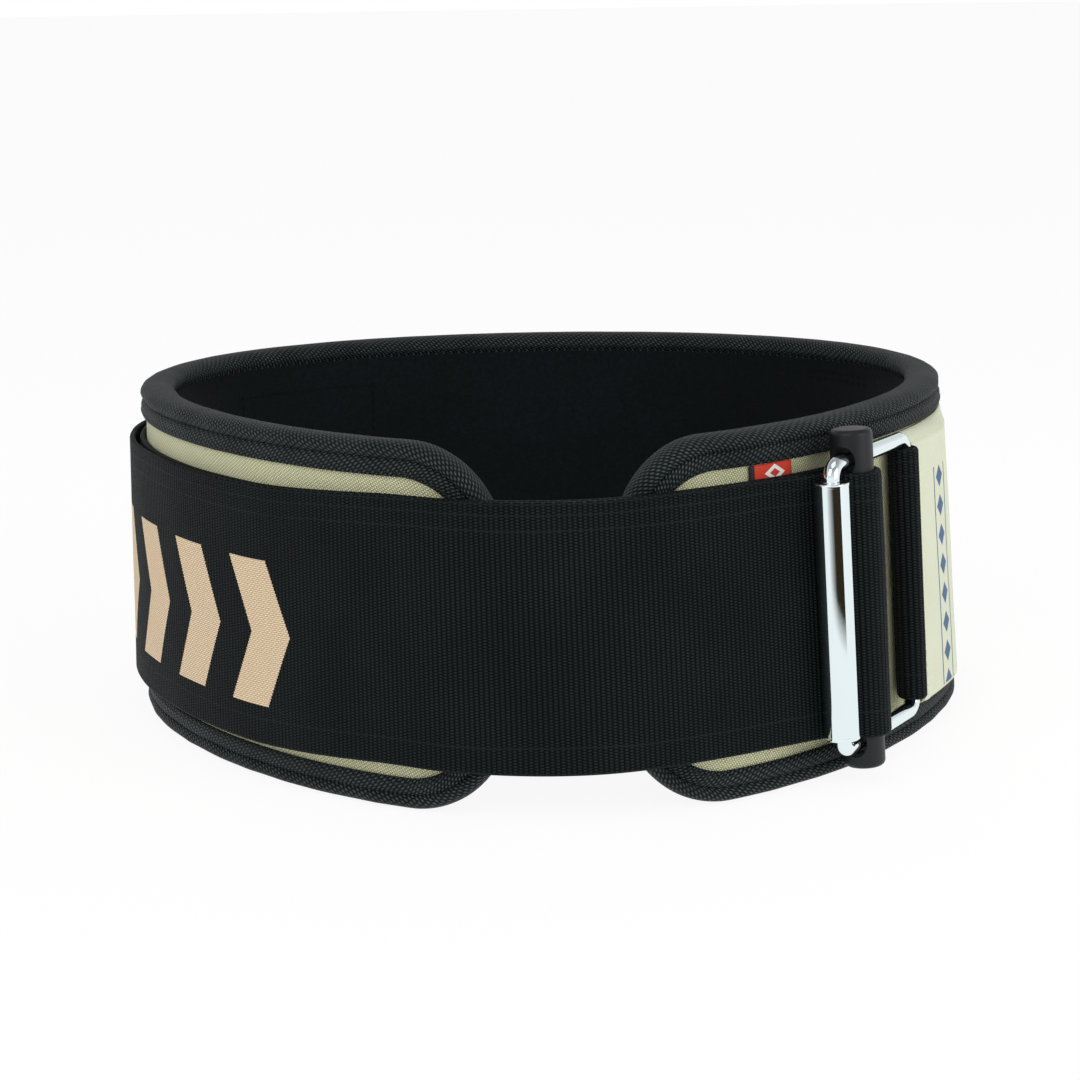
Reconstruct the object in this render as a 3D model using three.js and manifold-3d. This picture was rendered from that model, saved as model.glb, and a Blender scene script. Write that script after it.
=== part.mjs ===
// A four inch weightlifting belt with a roller buckle, standing on its lower edge.
// Units are millimetres, +Z is up, and the belt is worn with its buckle to the front, which is -Y.
import * as THREE from 'three';
import { mergeVertices } from 'three/addons/utils/BufferGeometryUtils.js';
import Module from 'manifold-3d';

// Sizes of the padded belt
const beltHeight = 102.4;
const beltThickness = 10.5;
const beltCornerRadius = 30;
const frontGapLeft = 14;
const frontGapRight = 17;

// The closed loop of the belt seen from above, half way up its outer face
const waistHalfWidth = 125.2;
const waistHalfDepth = 115.4;
const backFullness = 12.4;
const sideLean = 0.6;

// The lower edge is wider than the upper one and lies a little to the right and to the back of it
const lowerEdgeFlare = 5.1;
const lowerEdgeToRight = 2.5;
const lowerEdgeToBack = 2.1;

// The rolled rim and the layers set inside it, as depths below the rim's outermost line
const rollWidth = 3.4;
const rollLand = 2.8;
const rollFlank = 0.8;
const outerSeatDepth = 3.2;
const innerSeatDepth = 8;
const innerFlank = 2.2;
const layerGap = 0.3;
const panelThickness = 1.2;
const liningThickness = 1.2;
const tapeWidth = 5.2;
const tapeThickness = 1.2;

// The closing strap runs along the middle of the belt and leaves a margin free above and below
const strapMargin = 13.9;
const strapWidth = beltHeight - 2 * strapMargin;
const strapCentreHeight = beltHeight / 2;
const strapThickness = 1.8;
const strapAnchor = 322;
const strapTailEnd = 254;
const strapSeatStart = 26;
const strapSeatLength = 26;
const strapSag = 2.2;
const strapSagStart = 40;
const strapSagLength = 60;
const strapRise = 0.9;
const strapRiseStart = 5;
const strapRiseLength = 40;
const strapSlack = 1.1;
const strapSlackCentre = 195;
const strapSlackLength = 110;

// The buckle, as high as the strap's width asks for
const wireDiameter = 4.7;
const wireBendRadius = 4;
const frameLength = 48.4;
const frameSideGap = 0.35;
const buckleCentreHeight = strapCentreHeight + 1.1;
const rollerDiameter = 10;
const rollerLength = strapWidth - 2.3;
const rollerChamfer = 0.5;
const rollerSag = 0.35;
const slideBarDiameter = 11.9;
const slideBarLength = strapWidth + 21.6;
const slideBarRise = 0.45;
const slideBarHole = 6.5;
const slideBarRounding = 1.2;
const barToRollerGap = 0.2;
const loopLegPlace = 122.1;
const loopWidth = strapWidth - 1.6;
const loopDrop = 0.1;
const loopTailLength = 31;
const loopLift = 0.55;

// The cover over the loop's ends and the tag
const coverThickness = 1;
const coverStartPastLeg = 6.3;
const coverLength = 146;
const coverMargin = 0.6;
const coverRampLength = 36;
const tagStart = 59;
const tagWidth = 15.5;
const tagHeight = 6;
const tagThickness = 0.6;

// How finely curved forms are stepped
const loopSamples = 1440;
const wallStep = 9;
const cornerSteps = 6;
const rollSteps = 3;
const wireSides = 10;
const roundSides = 24;
const wrapStep = THREE.MathUtils.degToRad(24);

const colours = {
  blackTwill: 0x25292b,
  beigeNylon: 0xcfc6ad,
  blackLining: 0x101415,
  webbing: 0x1b2123,
  chrome: 0xe8eef0,
  blackPlastic: 0x2a2d30,
  paleCover: 0xeef3d9,
  redTag: 0xd8320f,
};

// The belt's loop from above, as a point for each angle, with the front at -90 degrees
function loopPoint(angle) {
  return new THREE.Vector2(
    waistHalfWidth * Math.cos(angle) + backFullness * Math.sin(2 * angle) - sideLean * Math.cos(2 * angle),
    waistHalfDepth * Math.sin(angle),
  );
}

function loopNormal(angle) {
  const along = new THREE.Vector2(
    -waistHalfWidth * Math.sin(angle) + 2 * backFullness * Math.cos(2 * angle) + 2 * sideLean * Math.sin(2 * angle),
    waistHalfDepth * Math.cos(angle),
  );
  return new THREE.Vector2(along.y, -along.x).normalize();
}

// Lengths along the loop from the middle of the front, growing to the wearer's left, which is +X there
const lengths = [0];
const frontAngle = -Math.PI / 2;
const sampleAngle = (index) => frontAngle + (2 * Math.PI * index) / loopSamples;
for (let i = 1; i <= loopSamples; i += 1) {
  const step = loopPoint(sampleAngle(i)).distanceTo(loopPoint(sampleAngle(i - 1)));
  lengths.push(lengths[i - 1] + step);
}
const beltLoopLength = lengths[loopSamples];

function angleAt(place) {
  const wrapped = THREE.MathUtils.euclideanModulo(place, beltLoopLength);
  let low = 0;
  let high = loopSamples;
  while (high - low > 1) {
    const middle = (low + high) >> 1;
    if (lengths[middle] > wrapped) {
      high = middle;
    } else {
      low = middle;
    }
  }
  const share = (wrapped - lengths[low]) / (lengths[high] - lengths[low]);
  return sampleAngle(low + share);
}

// A spot on the belt's wall: its place along the loop, its height, and how far it stands out
function wallPoint(place, height, out) {
  const angle = angleAt(place);
  const below = 0.5 - height / beltHeight;
  const spot = loopPoint(angle).addScaledVector(loopNormal(angle), out + lowerEdgeFlare * below);
  return new THREE.Vector3(spot.x + lowerEdgeToRight * below, spot.y + lowerEdgeToBack * below, height);
}

// A closed body from its points and its faces, turned so that the faces point outwards
function closedBody(points, faces) {
  const triangles = [];
  for (const face of faces) {
    for (let k = 2; k < face.length; k += 1) {
      triangles.push([face[0], face[k - 1], face[k]]);
    }
  }
  let volume = 0;
  const normal = new THREE.Vector3();
  for (const [a, b, c] of triangles) {
    volume += points[a].dot(normal.crossVectors(points[b], points[c]));
  }
  const index = [];
  for (const [a, b, c] of triangles) {
    index.push(...(volume > 0 ? [a, b, c] : [a, c, b]));
  }
  const geometry = new THREE.BufferGeometry().setFromPoints(points);
  geometry.setIndex(index);
  geometry.computeVertexNormals();
  return geometry;
}

// Half of the belt's flat outline: up round the right end's corner, along the top, down the left end's corner
const rightEnd = frontGapRight;
const leftEnd = beltLoopLength - frontGapLeft;

function outlineStations() {
  const stations = [];
  const centreHeight = beltHeight - beltCornerRadius;
  const corner = (centrePlace, from, to) => {
    for (let k = 0; k <= cornerSteps; k += 1) {
      const angle = from + ((to - from) * k) / cornerSteps;
      const across = Math.cos(angle);
      const up = Math.sin(angle);
      stations.push({
        place: centrePlace + beltCornerRadius * across,
        height: centreHeight + beltCornerRadius * up,
        inward: -across,
        down: -up,
      });
    }
  };
  const straightStart = rightEnd + beltCornerRadius;
  const straightEnd = leftEnd - beltCornerRadius;
  const straightSteps = Math.round((straightEnd - straightStart) / wallStep);
  corner(straightStart, Math.PI, Math.PI / 2);
  for (let k = 1; k < straightSteps; k += 1) {
    const place = straightStart + ((straightEnd - straightStart) * k) / straightSteps;
    stations.push({ place, height: beltHeight, inward: 0, down: -1 });
  }
  corner(straightEnd, Math.PI / 2, 0);
  return stations;
}

// The whole ring of stations: the top half, then the bottom half as its mirror image
const topStations = outlineStations();
const bottomStations = topStations.map((station) => ({
  ...station,
  height: beltHeight - station.height,
  down: -station.down,
}));
const ringStations = [...topStations, ...bottomStations.reverse()];

function ringPoints(section) {
  const points = [];
  for (const station of ringStations) {
    for (const { depth, out } of section) {
      const place = station.place + station.inward * depth;
      const height = station.height + station.down * depth;
      points.push(wallPoint(place, height, out));
    }
  }
  return points;
}

// A body as large as the belt: its section runs round the outline and both faces are closed by upright strips
function beltSizedBody(section) {
  const count = section.length;
  const last = count - 1;
  const stations = ringStations.length;
  const faces = [];
  for (let i = 0; i < stations; i += 1) {
    const next = (i + 1) % stations;
    for (let j = 0; j < last; j += 1) {
      faces.push([i * count + j, next * count + j, next * count + j + 1, i * count + j + 1]);
    }
  }
  for (let top = 0; top + 1 < topStations.length; top += 1) {
    const bottom = stations - 1 - top;
    faces.push([(top + 1) * count, top * count, bottom * count, (bottom - 1) * count]);
    faces.push([
      top * count + last,
      (top + 1) * count + last,
      (bottom - 1) * count + last,
      bottom * count + last,
    ]);
  }
  return closedBody(ringPoints(section), faces);
}

// A ring that runs round the outline, with a closed section
function outlineRing(section) {
  const count = section.length;
  const stations = ringStations.length;
  const faces = [];
  for (let i = 0; i < stations; i += 1) {
    const next = (i + 1) % stations;
    for (let j = 0; j < count; j += 1) {
      const after = (j + 1) % count;
      faces.push([i * count + j, next * count + j, next * count + after, i * count + after]);
    }
  }
  return closedBody(ringPoints(section), faces);
}

// The padded core with its rolled rim: two quarter ellipses either side of a narrow flat land
function padSection() {
  const rise = (beltThickness - rollLand) / 2;
  const section = [
    { depth: rollWidth + rollFlank, out: -outerSeatDepth },
    { depth: rollWidth + layerGap, out: -panelTopDepth },
  ];
  for (let k = 0; k <= rollSteps; k += 1) {
    const angle = (k * Math.PI) / (2 * rollSteps);
    section.push({ depth: rollWidth * (1 - Math.sin(angle)), out: -rise * (1 - Math.cos(angle)) });
  }
  for (let k = rollSteps; k >= 0; k -= 1) {
    const angle = (k * Math.PI) / (2 * rollSteps);
    section.push({
      depth: rollWidth * (1 - Math.sin(angle)),
      out: -beltThickness + rise * (1 - Math.cos(angle)),
    });
  }
  section.push({ depth: rollWidth + innerFlank, out: -innerSeatDepth });
  return section;
}

// Depths of the layers on the outer face, from the pad's seat outwards
const panelTopDepth = outerSeatDepth - layerGap - panelThickness;
const tapeTopDepth = panelTopDepth - layerGap - tapeThickness;
const panelEdge = rollWidth + rollFlank + layerGap;
const tapeEdge = rollWidth + 2 * layerGap;
const liningEdge = rollWidth + innerFlank + layerGap;

function layerSection(edge, topDepth, thickness) {
  return [
    { depth: edge, out: -topDepth },
    { depth: edge, out: -topDepth - thickness },
  ];
}

function tapeSection() {
  const innerEdge = tapeEdge + tapeWidth;
  return [
    { depth: tapeEdge, out: -tapeTopDepth },
    { depth: innerEdge, out: -tapeTopDepth },
    { depth: innerEdge, out: -tapeTopDepth - tapeThickness },
    { depth: tapeEdge, out: -tapeTopDepth - tapeThickness },
  ];
}

// A band's stations hold its middle line half way up, how it leans for each millimetre of height, and its sag
function wallStation(place, out) {
  const spot = wallPoint(place, strapCentreHeight, out);
  const spread = loopNormal(angleAt(place)).multiplyScalar(lowerEdgeFlare);
  const lean = spread.add(new THREE.Vector2(lowerEdgeToRight, lowerEdgeToBack)).divideScalar(-beltHeight);
  return { spot: new THREE.Vector2(spot.x, spot.y), lean, sag: 0 };
}

// A band of webbing or cloth that stands on edge and follows its stations
function bandBody(stations, thickness, low, high) {
  const points = [];
  const lastStation = stations.length - 1;
  stations.forEach((station, i) => {
    const before = stations[Math.max(i - 1, 0)].spot;
    const after = stations[Math.min(i + 1, lastStation)].spot;
    const toHere = station.spot.clone().sub(before).normalize();
    const fromHere = after.clone().sub(station.spot).normalize();
    const along = toHere.add(fromHere).normalize();
    const halfTurn = i > 0 && i < lastStation ? Math.abs(along.dot(fromHere)) : 1;
    const side = new THREE.Vector2(along.y, -along.x).multiplyScalar(thickness / 2 / halfTurn);
    for (const [sign, edge] of [[-1, low], [1, low], [1, high], [-1, high]]) {
      const height = edge - station.sag;
      const rise = height - strapCentreHeight;
      points.push(new THREE.Vector3(
        station.spot.x + sign * side.x + station.lean.x * rise,
        station.spot.y + sign * side.y + station.lean.y * rise,
        height,
      ));
    }
  });
  const faces = [[3, 2, 1, 0]];
  for (let i = 0; i < lastStation; i += 1) {
    for (let j = 0; j < 4; j += 1) {
      const after = (j + 1) % 4;
      faces.push([i * 4 + j, i * 4 + after, (i + 1) * 4 + after, (i + 1) * 4 + j]);
    }
  }
  const end = lastStation * 4;
  faces.push([end, end + 1, end + 2, end + 3]);
  return closedBody(points, faces);
}

// Places of the buckle: its loop leg and its slide bar stand on the wall, and the roller is in line with them
const strapSeatOut = layerGap;
const wireRadius = wireDiameter / 2;
const rollerRadius = rollerDiameter / 2;
const slideBarRadius = slideBarDiameter / 2;
const strapPitch = strapThickness + layerGap;
const barTurnRadius = slideBarRadius + layerGap + strapThickness / 2;
const rollerTurnRadius = rollerRadius + layerGap + strapThickness / 2;
const barToRoller = barTurnRadius + rollerTurnRadius + barToRollerGap;
const slideBarOut = strapSeatOut + strapThickness + layerGap + slideBarRadius;
const loopTurnRadius = wireRadius + layerGap + strapThickness / 2;
const panelSeatOut = -panelTopDepth + layerGap;
const loopLegOut = panelSeatOut + strapThickness / 2 + loopTurnRadius + loopLift;

const loopLeg = wallPoint(loopLegPlace, strapCentreHeight, loopLegOut);

// The slide bar lies where the frame's length puts it, so its place along the wall is searched for
function slideBarPlaceOnWall() {
  const reach = frameLength - barToRoller;
  let near = loopLegPlace - frameLength * 2;
  let far = loopLegPlace;
  for (let k = 0; k < 60; k += 1) {
    const middle = (near + far) / 2;
    if (wallPoint(middle, strapCentreHeight, slideBarOut).distanceTo(loopLeg) > reach) {
      near = middle;
    } else {
      far = middle;
    }
  }
  return (near + far) / 2;
}
const slideBarPlace = slideBarPlaceOnWall();
const slideBarSpot = wallPoint(slideBarPlace, strapCentreHeight, slideBarOut);

// The buckle's own axes: along the frame, up along its legs, and outwards
const alongFrame = loopLeg.clone().sub(slideBarSpot).normalize();
const wallLean = wallStation(slideBarPlace, 0).lean.add(wallStation(loopLegPlace, 0).lean).multiplyScalar(0.5);
const upLegs = new THREE.Vector3(wallLean.x, wallLean.y, 1);
upLegs.addScaledVector(alongFrame, -upLegs.dot(alongFrame)).normalize();
const buckleLean = new THREE.Vector2(upLegs.x, upLegs.y).divideScalar(upLegs.z);
const outOfFrame = new THREE.Vector3().crossVectors(alongFrame, upLegs);
const rollerSpot = slideBarSpot.clone().addScaledVector(alongFrame, -barToRoller);

// How far the strap's under layer stands out: over the rolled end at the front, down on the panel further round
function strapOut(place) {
  const onPanel = THREE.MathUtils.smoothstep(-place, strapSeatStart, strapSeatStart + strapSeatLength);
  const seat = THREE.MathUtils.lerp(strapSeatOut, panelSeatOut, onPanel);
  return seat + strapThickness / 2;
}

function strapSlackOut(place) {
  const share = (place + strapSlackCentre) / strapSlackLength;
  return Math.abs(share) < 0.5 ? strapSlack * Math.cos(Math.PI * share) ** 2 : 0;
}

// The strap hangs low round the belt's right side and back, and is drawn up a little at the buckle
function strapStation(place, out) {
  const station = wallStation(place, out);
  const hangs = THREE.MathUtils.smoothstep(-place, strapSagStart, strapSagStart + strapSagLength);
  const rises = THREE.MathUtils.smoothstep(place, strapRiseStart, strapRiseStart + strapRiseLength);
  station.sag = strapSag * hangs - strapRise * rises;
  return station;
}

function plan(vector) {
  return new THREE.Vector2(vector.x, vector.y);
}

function arcStations(centre, radius, from, to, sag) {
  const steps = Math.ceil(Math.abs(to - from) / wrapStep);
  const stations = [];
  for (let k = 0; k <= steps; k += 1) {
    const angle = from + ((to - from) * k) / steps;
    const spot = new THREE.Vector2(Math.cos(angle), Math.sin(angle)).multiplyScalar(radius).add(centre);
    stations.push({ spot, lean: buckleLean.clone(), sag });
  }
  return stations;
}

// Where the over layer, coming straight off the roller, meets the wall again
function meetingPlace() {
  const roller = plan(rollerSpot);
  let near = slideBarPlace - barToRoller;
  let far = near - frameLength;
  for (let k = 0; k < 60; k += 1) {
    const middle = (near + far) / 2;
    const spot = wallStation(middle, strapOut(middle) + strapPitch).spot;
    const offset = roller.clone().sub(spot).dot(loopNormal(angleAt(middle)));
    if (offset > rollerTurnRadius) {
      near = middle;
    } else {
      far = middle;
    }
  }
  return (near + far) / 2;
}

// The whole strap: along the wall, round the slide bar, under the roller, and back over itself
function strapStations() {
  const stations = [];
  const frameAngle = Math.atan2(alongFrame.y, alongFrame.x);
  const underSteps = Math.round((slideBarPlace + strapAnchor) / wallStep);
  for (let k = 0; k < underSteps; k += 1) {
    const place = -strapAnchor + ((slideBarPlace + strapAnchor) * k) / underSteps;
    const station = strapStation(place, strapOut(place));
    const share = THREE.MathUtils.smoothstep(place, slideBarPlace - frameLength, slideBarPlace);
    station.lean.lerp(buckleLean, share);
    stations.push(station);
  }
  const foot = loopNormal(angleAt(slideBarPlace)).negate();
  const footAngle = Math.atan2(foot.y, foot.x);
  const crossing = Math.acos((barTurnRadius + rollerTurnRadius) / barToRoller);
  const barEnd = frameAngle + Math.PI + crossing;
  const barTurn = THREE.MathUtils.euclideanModulo(footAngle - barEnd, 2 * Math.PI);
  stations.push(...arcStations(plan(slideBarSpot), barTurnRadius, footAngle, footAngle - barTurn, -strapRise));
  const meeting = meetingPlace();
  const leaving = loopNormal(angleAt(meeting)).negate();
  const leavingAngle = Math.atan2(leaving.y, leaving.x);
  const rollerStart = frameAngle + crossing;
  const rollerTurn = THREE.MathUtils.euclideanModulo(leavingAngle - rollerStart, 2 * Math.PI);
  stations.push(...arcStations(
    plan(rollerSpot),
    rollerTurnRadius,
    rollerStart,
    rollerStart + rollerTurn,
    -strapRise,
  ));
  const overSteps = Math.round((meeting + strapTailEnd) / wallStep);
  for (let k = 0; k <= overSteps; k += 1) {
    const place = meeting - ((meeting + strapTailEnd) * k) / overSteps;
    stations.push(strapStation(place, strapOut(place) + strapPitch + strapSlackOut(place)));
  }
  return stations;
}

// The loop on the frame's right leg: out from under the cover, round the leg, and back under the cover
function loopStations() {
  const stations = [];
  const under = panelSeatOut + strapThickness / 2;
  const over = under + strapPitch;
  const tailEnd = loopLegPlace + loopTailLength;
  const flatStart = loopLegPlace + loopTurnRadius * 1.6;
  const tailSteps = Math.round((tailEnd - flatStart) / wallStep);
  const tailPlace = (k) => flatStart + ((tailEnd - flatStart) * k) / tailSteps;
  for (let k = tailSteps; k >= 0; k -= 1) {
    stations.push(wallStation(tailPlace(k), under));
  }
  const outwards = loopNormal(angleAt(loopLegPlace));
  const outAngle = Math.atan2(outwards.y, outwards.x);
  const overlap = THREE.MathUtils.degToRad(70);
  const centre = plan(loopLeg);
  stations.push(...arcStations(centre, loopTurnRadius, outAngle - Math.PI, outAngle + overlap, 0));
  for (let k = 0; k <= tailSteps; k += 1) {
    stations.push(wallStation(tailPlace(k), over));
  }
  return stations;
}

// The cover lies over the loop's ends, then drops on to the panel
const coverLow = tapeEdge + tapeWidth + coverMargin;
const coverHigh = beltHeight - coverLow;

function coverStations() {
  const stations = [];
  const start = loopLegPlace + coverStartPastLeg;
  const rampStart = loopLegPlace + loopTailLength + layerGap;
  const overLoop = panelSeatOut + 2 * strapPitch + coverThickness / 2;
  const onPanel = panelSeatOut + coverThickness / 2;
  const places = [start, (start + rampStart) / 2, rampStart];
  const rampSteps = Math.round(coverRampLength / wallStep);
  for (let k = 1; k <= rampSteps; k += 1) {
    places.push(rampStart + (coverRampLength * k) / rampSteps);
  }
  const flatStart = rampStart + coverRampLength;
  const flatSteps = Math.round((start + coverLength - flatStart) / wallStep);
  for (let k = 1; k <= flatSteps; k += 1) {
    places.push(flatStart + ((start + coverLength - flatStart) * k) / flatSteps);
  }
  for (const place of places) {
    const drop = THREE.MathUtils.smoothstep(place, rampStart, flatStart);
    stations.push(wallStation(place, THREE.MathUtils.lerp(overLoop, onPanel, drop)));
  }
  return stations;
}

function tagStations() {
  const out = panelSeatOut + tagThickness / 2;
  return [0, 0.5, 1].map((share) => wallStation(tagStart + tagWidth * share, out));
}

// The wire rectangle in the buckle's own axes, centred on the roller's leg
function wireFrameBody() {
  const halfHeight = (strapWidth + wireDiameter) / 2 + frameSideGap;
  const corners = [
    { x: frameLength - wireBendRadius, y: halfHeight - wireBendRadius, start: 0 },
    { x: wireBendRadius, y: halfHeight - wireBendRadius, start: 90 },
    { x: wireBendRadius, y: wireBendRadius - halfHeight, start: 180 },
    { x: frameLength - wireBendRadius, y: wireBendRadius - halfHeight, start: 270 },
  ];
  const bendSteps = 4;
  const points = [];
  for (const corner of corners) {
    for (let k = 0; k <= bendSteps; k += 1) {
      const angle = THREE.MathUtils.degToRad(corner.start + (90 * k) / bendSteps);
      const across = new THREE.Vector3(Math.cos(angle), Math.sin(angle), 0);
      const middle = new THREE.Vector3(corner.x, corner.y, 0).addScaledVector(across, wireBendRadius);
      for (let j = 0; j < wireSides; j += 1) {
        const turn = (2 * Math.PI * j) / wireSides;
        points.push(middle.clone().addScaledVector(across, wireRadius * Math.cos(turn))
          .add(new THREE.Vector3(0, 0, wireRadius * Math.sin(turn))));
      }
    }
  }
  const stations = corners.length * (bendSteps + 1);
  const faces = [];
  for (let i = 0; i < stations; i += 1) {
    const next = (i + 1) % stations;
    for (let j = 0; j < wireSides; j += 1) {
      const after = (j + 1) % wireSides;
      faces.push([i * wireSides + j, next * wireSides + j, next * wireSides + after, i * wireSides + after]);
    }
  }
  return closedBody(points, faces);
}

// The roller is a tube with chamfered ends that turns on the wire
function rollerBody() {
  const half = rollerLength / 2;
  const bore = wireRadius + layerGap;
  const outline = [
    [bore, -half],
    [rollerRadius - rollerChamfer, -half],
    [rollerRadius, -half + rollerChamfer],
    [rollerRadius, half - rollerChamfer],
    [rollerRadius - rollerChamfer, half],
    [bore, half],
    [bore, -half],
  ];
  return new THREE.LatheGeometry(outline.map(([r, y]) => new THREE.Vector2(r, y)), roundSides);
}

const wasm = await Module();
wasm.setup();

function toManifold(geometry) {
  const bare = geometry.clone();
  bare.deleteAttribute('normal');
  bare.deleteAttribute('uv');
  const merged = mergeVertices(bare, 1e-4);
  return new wasm.Manifold(new wasm.Mesh({
    numProp: 3,
    vertProperties: new Float32Array(merged.attributes.position.array),
    triVerts: new Uint32Array(merged.index.array),
  }));
}

function fromManifold(solid) {
  const mesh = solid.getMesh();
  const geometry = new THREE.BufferGeometry();
  geometry.setAttribute('position', new THREE.BufferAttribute(mesh.vertProperties, 3));
  geometry.setIndex(new THREE.BufferAttribute(mesh.triVerts, 1));
  geometry.computeVertexNormals();
  return geometry;
}

// The slide bar is a rod with rounded ends and two cross holes for the frame's wires
function slideBarBody() {
  const half = slideBarLength / 2;
  const outline = [
    [0, -half],
    [slideBarRadius - slideBarRounding, -half],
    [slideBarRadius, -half + slideBarRounding],
    [slideBarRadius, half - slideBarRounding],
    [slideBarRadius - slideBarRounding, half],
    [0, half],
  ];
  let rod = toManifold(new THREE.LatheGeometry(outline.map(([r, y]) => new THREE.Vector2(r, y)), roundSides));
  const holeHeight = (strapWidth + wireDiameter) / 2 + frameSideGap;
  for (const height of [-holeHeight, holeHeight]) {
    const hole = new THREE.CylinderGeometry(slideBarHole / 2, slideBarHole / 2, slideBarDiameter * 2, 16);
    hole.rotateZ(Math.PI / 2);
    hole.translate(0, height - slideBarRise, 0);
    rod = rod.subtract(toManifold(hole));
  }
  return fromManifold(rod);
}

function piece(name, geometry, color, roughness, metalness) {
  const mesh = new THREE.Mesh(geometry, new THREE.MeshStandardMaterial({ color, roughness, metalness }));
  mesh.name = name;
  return mesh;
}

const strapLow = strapCentreHeight - strapWidth / 2;
const strapHigh = strapCentreHeight + strapWidth / 2;
const loopLow = buckleCentreHeight - loopDrop - loopWidth / 2;
const loopHigh = loopLow + loopWidth;
const tagTop = beltHeight - tapeEdge - tapeWidth - layerGap;

const belt = new THREE.Group();
const outerPanel = beltSizedBody(layerSection(panelEdge, panelTopDepth, panelThickness));
const lining = beltSizedBody(layerSection(liningEdge, innerSeatDepth + layerGap, liningThickness));
belt.add(piece('foam_pad', beltSizedBody(padSection()), colours.blackTwill, 0.85, 0));
belt.add(piece('outer_panel', outerPanel, colours.beigeNylon, 0.8, 0));
belt.add(piece('inner_lining', lining, colours.blackLining, 0.95, 0));
belt.add(piece('edge_tape', outlineRing(tapeSection()), colours.blackTwill, 0.85, 0));
belt.add(piece(
  'closing_strap',
  bandBody(strapStations(), strapThickness, strapLow, strapHigh),
  colours.webbing,
  0.8,
  0,
));
belt.add(piece('frame_loop', bandBody(loopStations(), strapThickness, loopLow, loopHigh), colours.webbing, 0.8, 0));
belt.add(piece(
  'printed_cover',
  bandBody(coverStations(), coverThickness, coverLow, coverHigh),
  colours.paleCover,
  0.8,
  0,
));
belt.add(piece('side_tag', bandBody(tagStations(), tagThickness, tagTop - tagHeight, tagTop), colours.redTag, 0.7, 0));

// The hard parts of the buckle are placed as one turned group
const buckle = new THREE.Group();
buckle.position.copy(rollerSpot).addScaledVector(upLegs, buckleCentreHeight - strapCentreHeight);
buckle.setRotationFromMatrix(new THREE.Matrix4().makeBasis(alongFrame, upLegs, outOfFrame));
buckle.add(piece('buckle_frame', wireFrameBody(), colours.chrome, 0.12, 1));
const roller = piece('roller', rollerBody(), colours.chrome, 0.1, 1);
roller.position.set(0, -rollerSag, 0);
buckle.add(roller);
const slideBar = piece('slide_bar', slideBarBody(), colours.blackPlastic, 0.55, 0);
slideBar.position.set(barToRoller, slideBarRise, 0);
buckle.add(slideBar);
belt.add(buckle);

// The origin is the middle of the belt's box, on the surface that it stands on
belt.updateMatrixWorld(true);
const box = new THREE.Box3().setFromObject(belt, true);
belt.position.set(-(box.min.x + box.max.x) / 2, -(box.min.y + box.max.y) / 2, -box.min.z);

export default belt;
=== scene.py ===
import math

import bmesh
import bpy
import numpy as np
from mathutils import Matrix, Vector


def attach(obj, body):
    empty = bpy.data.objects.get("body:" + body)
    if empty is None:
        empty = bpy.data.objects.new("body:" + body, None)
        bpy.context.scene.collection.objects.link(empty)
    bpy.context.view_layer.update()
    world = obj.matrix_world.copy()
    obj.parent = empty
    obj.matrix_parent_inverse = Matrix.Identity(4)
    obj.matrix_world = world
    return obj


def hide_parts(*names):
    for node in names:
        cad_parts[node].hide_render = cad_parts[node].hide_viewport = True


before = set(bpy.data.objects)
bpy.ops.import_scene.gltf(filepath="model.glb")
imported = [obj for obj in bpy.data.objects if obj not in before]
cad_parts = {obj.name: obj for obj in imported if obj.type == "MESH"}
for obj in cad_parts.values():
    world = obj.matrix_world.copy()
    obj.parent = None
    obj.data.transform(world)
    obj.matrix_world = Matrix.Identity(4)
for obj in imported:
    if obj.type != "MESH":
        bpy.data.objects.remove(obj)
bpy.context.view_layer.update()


# The padded body. A foam core about 10 mm thick is wrapped in coarse black twill, which is rolled over
# the edge and sewn down, so that a round rib runs right round the belt. It is bent to a waist's loop,
# and its two ends stay apart at the front behind the strap. All sizes here are millimetres.
BELT_HEIGHT = 102.4
END_RADIUS = 30
END_LEFT = 14
END_RIGHT = 17
WAIST_HALF_WIDTH = 125.2
WAIST_HALF_DEPTH = 115.4
BACK_FULLNESS = 12.4
SIDE_LEAN = 0.6
EDGE_FLARE = 5.1
EDGE_TO_RIGHT = 2.5
EDGE_TO_BACK = 2.1
BELT_MIDDLE = Vector((1.046, 0.963, 0))
MM = 0.001

angles = np.linspace(-math.pi / 2, 1.5 * math.pi, 2881)


def loop_points(t):
    """The belt's loop from above, at the rib's outermost line."""
    x = WAIST_HALF_WIDTH * np.cos(t) + BACK_FULLNESS * np.sin(2 * t) - SIDE_LEAN * np.cos(2 * t)
    return np.stack([x, WAIST_HALF_DEPTH * np.sin(t)], -1)


def loop_normals(t):
    along_x = -WAIST_HALF_WIDTH * np.sin(t) + 2 * BACK_FULLNESS * np.cos(2 * t) + 2 * SIDE_LEAN * np.sin(2 * t)
    normal = np.stack([WAIST_HALF_DEPTH * np.cos(t), -along_x], -1)
    return normal / np.linalg.norm(normal, axis=1)[:, None]


lengths = np.concatenate([[0], np.cumsum(np.linalg.norm(np.diff(loop_points(angles), axis=0), axis=1))])
LOOP = lengths[-1]


def wall(place, height, out):
    """Points on the belt's wall, in mm: place along the loop from the front, height, and how far they stand out."""
    place, height, out = np.broadcast_arrays(*(np.asarray(v, float) for v in (place, height, out)))
    t = np.interp(place.ravel() % LOOP, lengths, angles)
    below = 0.5 - height.ravel() / BELT_HEIGHT
    plan = loop_points(t) + loop_normals(t) * (out.ravel() + EDGE_FLARE * below)[:, None]
    plan += np.array([EDGE_TO_RIGHT, EDGE_TO_BACK]) * below[:, None]
    spots = np.column_stack([plan, height.ravel()]) + np.array(BELT_MIDDLE)
    return spots.reshape(place.shape + (3,))


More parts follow.
